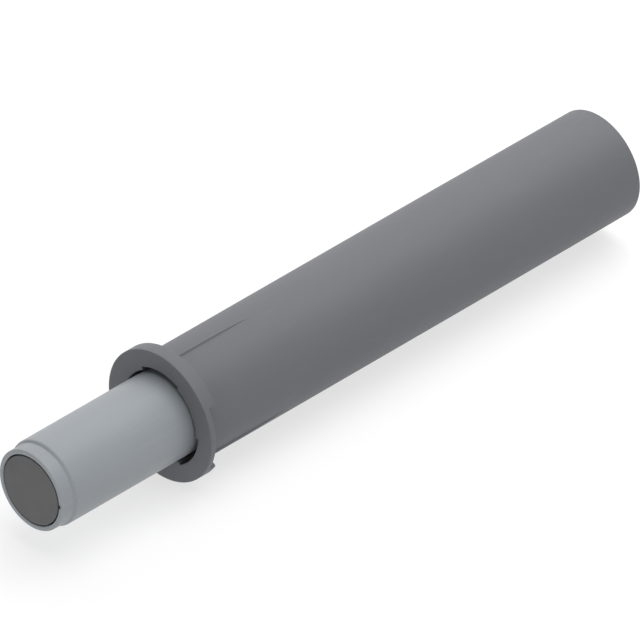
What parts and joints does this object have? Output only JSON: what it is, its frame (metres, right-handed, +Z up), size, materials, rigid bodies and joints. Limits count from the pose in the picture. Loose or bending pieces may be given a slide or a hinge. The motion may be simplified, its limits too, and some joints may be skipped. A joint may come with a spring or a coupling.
{
  "type": "soft close damper",
  "caption": "Push-in soft close damper: a sprung, fluid-damped plunger with a rubber face slides in a flanged tube that fits a drilled hole.",
  "frame": {"origin": "centre of the flange's back face, on the tube's axis", "axes": "+Y along the tube from the flange into the drilled hole, +Z up through the top crush rib"},
  "size_m": [0.0122, 0.0671, 0.0122],
  "materials": {
    "housing_plastic": "fine moulded satin",
    "plunger_plastic": "smooth moulded satin",
    "inner_plastic": "natural moulded",
    "pad_rubber": "matt",
    "seal_rubber": "satin",
    "foam": "closed-cell foam",
    "steel": "turned",
    "spring_steel": "drawn wire"
  },
  "bodies": {
    "housing_body": {"housing": "housing_plastic", "rod_foot": "inner_plastic", "piston_rod": "steel", "shoulder_washer": "steel", "piston": "inner_plastic", "spring_washer": "steel", "piston_clip": "steel", "return_spring": "spring_steel"},
    "valve_body": {"valve_ring": "inner_plastic"},
    "plunger_body": {"plunger_sleeve": "plunger_plastic", "bumper_pad": "pad_rubber", "foam_retainer": "inner_plastic", "compensator_foam": "foam", "seal_washer": "steel", "rod_seal": "seal_rubber", "rod_guide": "inner_plastic", "guide_o_ring": "seal_rubber", "end_cap": "plunger_plastic"}
  },
  "joints": [
    {"name": "plunger_slide", "type": "slide", "parent": "housing_body", "child": "plunger_body", "axis": [0, 1, 0], "range_m": [0, 0.014], "stiffness_N_per_m": 100, "springref_m": -0.007, "deforming": ["return_spring"]},
    {"name": "valve_shift", "type": "slide", "parent": "housing_body", "child": "valve_body", "axis": [0, 1, 0], "range_m": [0, 0.00025]}
  ]
}
